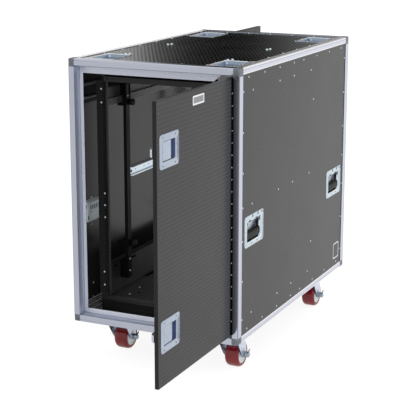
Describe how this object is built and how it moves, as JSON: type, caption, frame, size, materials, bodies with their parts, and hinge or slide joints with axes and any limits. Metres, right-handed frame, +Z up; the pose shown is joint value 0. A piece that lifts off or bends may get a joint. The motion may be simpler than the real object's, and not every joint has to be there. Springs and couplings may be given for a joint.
{
  "type": "rack case",
  "caption": "Tall black rolling rack case with aluminium edges, pocket doors front and rear, recessed handles, stacking cups and red swivel casters.",
  "frame": {"origin": "on the floor, at the middle of the footprint", "axes": "+Z up, -Y out of the front door, +X to the right as seen from the front"},
  "size_m": [0.678, 2.284, 1.15],
  "materials": {
    "black_laminate_board": "dark phenolic laminate with a fine honeycomb emboss, satin",
    "aluminium_edge": "satin anodised extrusion",
    "zinc_plate": "bright zinc plate, slightly blue",
    "slide_steel": "bright zinc plated drawer slide",
    "black_steel": "black powder coat, fine texture",
    "black_rubber": "matt moulded grip",
    "red_tread": "glossy dark red polyurethane on a pale hub"
  },
  "bodies": {
    "shell": {"bottom_left_edge": "aluminium_edge", "bottom_panel": "black_laminate_board", "bottom_right_edge": "aluminium_edge", "front_door_tracks": "slide_steel", "front_frame": "aluminium_edge", "front_left_caster_plate": "zinc_plate", "front_left_handle_dish": "zinc_plate", "front_left_rack_rail": "black_steel", "front_left_stacking_cup": "zinc_plate", "front_right_caster_plate": "zinc_plate", "front_right_handle_dish": "zinc_plate", "front_right_rack_rail": "black_steel", "front_right_stacking_cup": "zinc_plate", "left_panel": "black_laminate_board", "left_rack_frame": "black_steel", "rack_base_tray": "black_steel", "rear_door_tracks": "slide_steel", "rear_frame": "aluminium_edge", "rear_left_caster_plate": "zinc_plate", "rear_left_handle_dish": "zinc_plate", "rear_left_rack_rail": "black_steel", "rear_left_stacking_cup": "zinc_plate", "rear_right_caster_plate": "zinc_plate", "rear_right_handle_dish": "zinc_plate", "rear_right_rack_rail": "black_steel", "rear_right_stacking_cup": "zinc_plate", "right_panel": "black_laminate_board", "right_rack_frame": "black_steel", "top_left_edge": "aluminium_edge", "top_panel": "black_laminate_board", "top_right_edge": "aluminium_edge"},
    "front_carriage": {"front_door_carriage": "black_steel"},
    "front_door_leaf": {"front_door": "black_laminate_board", "front_lower_latch_dish": "zinc_plate", "front_upper_latch_dish": "zinc_plate"},
    "front_lower_paddle": {"front_lower_latch_paddle": "zinc_plate"},
    "front_lower_bolt": {"front_lower_latch_bolt": "zinc_plate"},
    "front_upper_paddle": {"front_upper_latch_paddle": "zinc_plate"},
    "front_upper_bolt": {"front_upper_latch_bolt": "zinc_plate"},
    "rear_carriage": {"rear_door_carriage": "black_steel"},
    "rear_door_leaf": {"rear_door": "black_laminate_board", "rear_lower_latch_dish": "zinc_plate", "rear_upper_latch_dish": "zinc_plate"},
    "rear_lower_paddle": {"rear_lower_latch_paddle": "zinc_plate"},
    "rear_lower_bolt": {"rear_lower_latch_bolt": "zinc_plate"},
    "rear_upper_paddle": {"rear_upper_latch_paddle": "zinc_plate"},
    "rear_upper_bolt": {"rear_upper_latch_bolt": "zinc_plate"},
    "front_left_grip": {"front_left_handle_grip": "black_rubber"},
    "front_right_grip": {"front_right_handle_grip": "black_rubber"},
    "rear_left_grip": {"rear_left_handle_grip": "black_rubber"},
    "rear_right_grip": {"rear_right_handle_grip": "black_rubber"},
    "front_left_fork": {"front_left_caster_fork": "zinc_plate"},
    "front_left_wheel": {"front_left_caster_wheel": "red_tread"},
    "front_right_fork": {"front_right_caster_fork": "zinc_plate"},
    "front_right_wheel": {"front_right_caster_wheel": "red_tread"},
    "rear_left_fork": {"rear_left_caster_fork": "zinc_plate"},
    "rear_left_wheel": {"rear_left_caster_wheel": "red_tread"},
    "rear_right_fork": {"rear_right_caster_fork": "zinc_plate"},
    "rear_right_wheel": {"rear_right_caster_wheel": "red_tread"}
  },
  "joints": [
    {"name": "front_door_slide", "type": "slide", "parent": "shell", "child": "front_carriage", "axis": [0, 1, 0], "range_m": [0, 0.5685]},
    {"name": "front_door_hinge", "type": "hinge", "parent": "front_carriage", "child": "front_door_leaf", "pos_m": [0.297, -0.5325, 0.65], "axis": [0, 0, 1], "range_deg": [-90, 0]},
    {"name": "front_lower_paddle_pull", "type": "hinge", "parent": "front_door_leaf", "child": "front_lower_paddle", "pos_m": [0.3088, -1.1005, 0.3525], "axis": [0, 0, -1], "range_deg": [0, 16], "stiffness_Nm_per_rad": 0.4},
    {"name": "front_lower_bolt_travel", "type": "slide", "parent": "front_door_leaf", "child": "front_lower_bolt", "axis": [0, 1, 0], "range_m": [0, 0.0121]},
    {"name": "front_upper_paddle_pull", "type": "hinge", "parent": "front_door_leaf", "child": "front_upper_paddle", "pos_m": [0.3088, -1.1005, 0.953], "axis": [0, 0, -1], "range_deg": [0, 16], "stiffness_Nm_per_rad": 0.4},
    {"name": "front_upper_bolt_travel", "type": "slide", "parent": "front_door_leaf", "child": "front_upper_bolt", "axis": [0, 1, 0], "range_m": [0, 0.0121]},
    {"name": "rear_door_slide", "type": "slide", "parent": "shell", "child": "rear_carriage", "axis": [0, -1, 0], "range_m": [0, 0.5685]},
    {"name": "rear_door_hinge", "type": "hinge", "parent": "rear_carriage", "child": "rear_door_leaf", "pos_m": [-0.297, 0.5325, 0.65], "axis": [0, 0, 1], "range_deg": [-90, 0]},
    {"name": "rear_lower_paddle_pull", "type": "hinge", "parent": "rear_door_leaf", "child": "rear_lower_paddle", "pos_m": [-0.3088, 1.1005, 0.3525], "axis": [0, 0, -1], "range_deg": [0, 16], "stiffness_Nm_per_rad": 0.4},
    {"name": "rear_lower_bolt_travel", "type": "slide", "parent": "rear_door_leaf", "child": "rear_lower_bolt", "axis": [0, -1, 0], "range_m": [0, 0.0121]},
    {"name": "rear_upper_paddle_pull", "type": "hinge", "parent": "rear_door_leaf", "child": "rear_upper_paddle", "pos_m": [-0.3088, 1.1005, 0.953], "axis": [0, 0, -1], "range_deg": [0, 16], "stiffness_Nm_per_rad": 0.4},
    {"name": "rear_upper_bolt_travel", "type": "slide", "parent": "rear_door_leaf", "child": "rear_upper_bolt", "axis": [0, -1, 0], "range_m": [0, 0.0121]},
    {"name": "front_left_grip_lift", "type": "hinge", "parent": "shell", "child": "front_left_grip", "pos_m": [-0.3287, -0.4285, 0.579], "axis": [0, 1, 0], "range_deg": [0, 90], "stiffness_Nm_per_rad": 0.5},
    {"name": "front_right_grip_lift", "type": "hinge", "parent": "shell", "child": "front_right_grip", "pos_m": [0.3287, -0.4285, 0.579], "axis": [0, -1, 0], "range_deg": [0, 90], "stiffness_Nm_per_rad": 0.5},
    {"name": "rear_left_grip_lift", "type": "hinge", "parent": "shell", "child": "rear_left_grip", "pos_m": [-0.3287, 0.4285, 0.579], "axis": [0, 1, 0], "range_deg": [0, 90], "stiffness_Nm_per_rad": 0.5},
    {"name": "rear_right_grip_lift", "type": "hinge", "parent": "shell", "child": "rear_right_grip", "pos_m": [0.3287, 0.4285, 0.579], "axis": [0, -1, 0], "range_deg": [0, 90], "stiffness_Nm_per_rad": 0.5},
    {"name": "front_left_swivel", "type": "hinge", "parent": "shell", "child": "front_left_fork", "pos_m": [-0.223, -0.426, 0.1388], "axis": [0, 0, 1], "continuous": true},
    {"name": "front_left_wheel_spin", "type": "hinge", "parent": "front_left_fork", "child": "front_left_wheel", "pos_m": [-0.223, -0.388, 0.05], "axis": [1, 0, 0], "continuous": true},
    {"name": "front_right_swivel", "type": "hinge", "parent": "shell", "child": "front_right_fork", "pos_m": [0.2485, -0.426, 0.1388], "axis": [0, 0, 1], "continuous": true},
    {"name": "front_right_wheel_spin", "type": "hinge", "parent": "front_right_fork", "child": "front_right_wheel", "pos_m": [0.2485, -0.388, 0.05], "axis": [1, 0, 0], "continuous": true},
    {"name": "rear_left_swivel", "type": "hinge", "parent": "shell", "child": "rear_left_fork", "pos_m": [-0.223, 0.384, 0.1388], "axis": [0, 0, 1], "continuous": true},
    {"name": "rear_left_wheel_spin", "type": "hinge", "parent": "rear_left_fork", "child": "rear_left_wheel", "pos_m": [-0.223, 0.422, 0.05], "axis": [1, 0, 0], "continuous": true},
    {"name": "rear_right_swivel", "type": "hinge", "parent": "shell", "child": "rear_right_fork", "pos_m": [0.2485, 0.384, 0.1388], "axis": [0, 0, 1], "continuous": true},
    {"name": "rear_right_wheel_spin", "type": "hinge", "parent": "rear_right_fork", "child": "rear_right_wheel", "pos_m": [0.2485, 0.422, 0.05], "axis": [1, 0, 0], "continuous": true}
  ],
  "couplings": [
    {"joint": "front_lower_bolt_travel", "follows": "front_lower_paddle_pull", "m_per_rad": 0.042972},
    {"joint": "front_upper_bolt_travel", "follows": "front_upper_paddle_pull", "m_per_rad": 0.042972},
    {"joint": "rear_lower_bolt_travel", "follows": "rear_lower_paddle_pull", "m_per_rad": 0.042972},
    {"joint": "rear_upper_bolt_travel", "follows": "rear_upper_paddle_pull", "m_per_rad": 0.042972}
  ]
}
